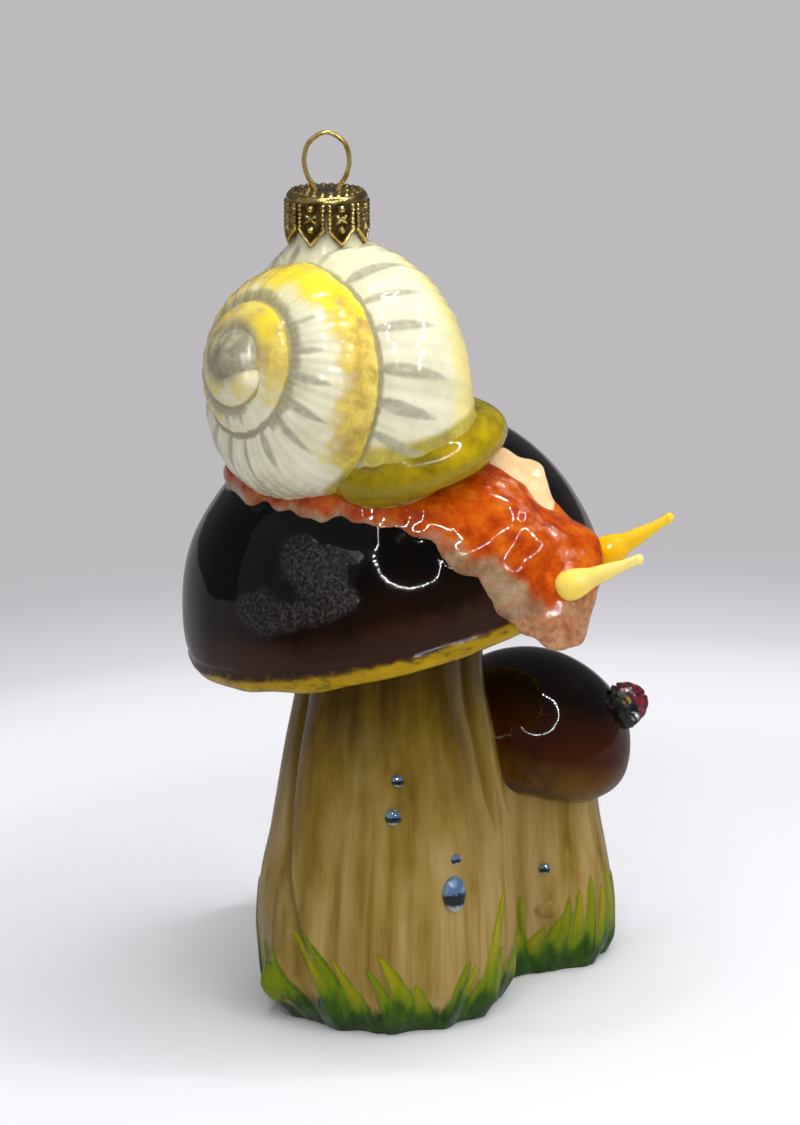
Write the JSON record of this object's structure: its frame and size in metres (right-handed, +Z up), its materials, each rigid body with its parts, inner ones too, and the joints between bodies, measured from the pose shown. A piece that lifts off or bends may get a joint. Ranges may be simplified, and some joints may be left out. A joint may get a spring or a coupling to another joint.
{
  "type": "mushroom ornament",
  "caption": "Painted blown-glass hanging ornament: a snail with a coiled shell over a thick-stemmed mushroom, a smaller mushroom with a ladybird at its side, metal crown cap and wire loop.",
  "frame": {"origin": "middle of the big stem's standing face, on the surface it stands on", "axes": "+Z up, -Y the front with the crystals on the stem, +X towards the small mushroom and the snail's head"},
  "size_m": [0.077, 0.0707, 0.1429],
  "materials": {
    "painted_glass": "painted and lacquered, high gloss",
    "yellow_glass": "gloss",
    "black_glass": "gloss",
    "red_glass": "gloss",
    "amber_crystal": "foiled crystal",
    "clear_crystal": "foiled crystal",
    "antique_gold": "stamped, antique gold",
    "gold_wire": "bright wire"
  },
  "bodies": {
    "ornament": {"glass_body": "painted_glass", "right_tentacle": "yellow_glass", "left_tentacle": "yellow_glass", "ladybird_body": "black_glass", "ladybird_wing_cases": "red_glass", "ladybird_amber_eye": "amber_crystal", "ladybird_clear_eye": "clear_crystal", "upper_small_crystal": "clear_crystal", "upper_round_crystal": "clear_crystal", "lower_small_crystal": "clear_crystal", "oval_crystal": "clear_crystal", "small_stem_crystal": "clear_crystal"},
    "cap": {"crown_cap": "antique_gold"},
    "hanger": {"hanger": "gold_wire"}
  },
  "joints": [
    {"name": "cap_turn", "type": "hinge", "parent": "ornament", "child": "cap", "pos_m": [-0.0093, -0.0071, 0.1329], "axis": [0, 0, 1], "continuous": true},
    {"name": "hanger_slide", "type": "slide", "parent": "cap", "child": "hanger", "axis": [0, 0, 1], "range_m": [0, 0.003]}
  ]
}
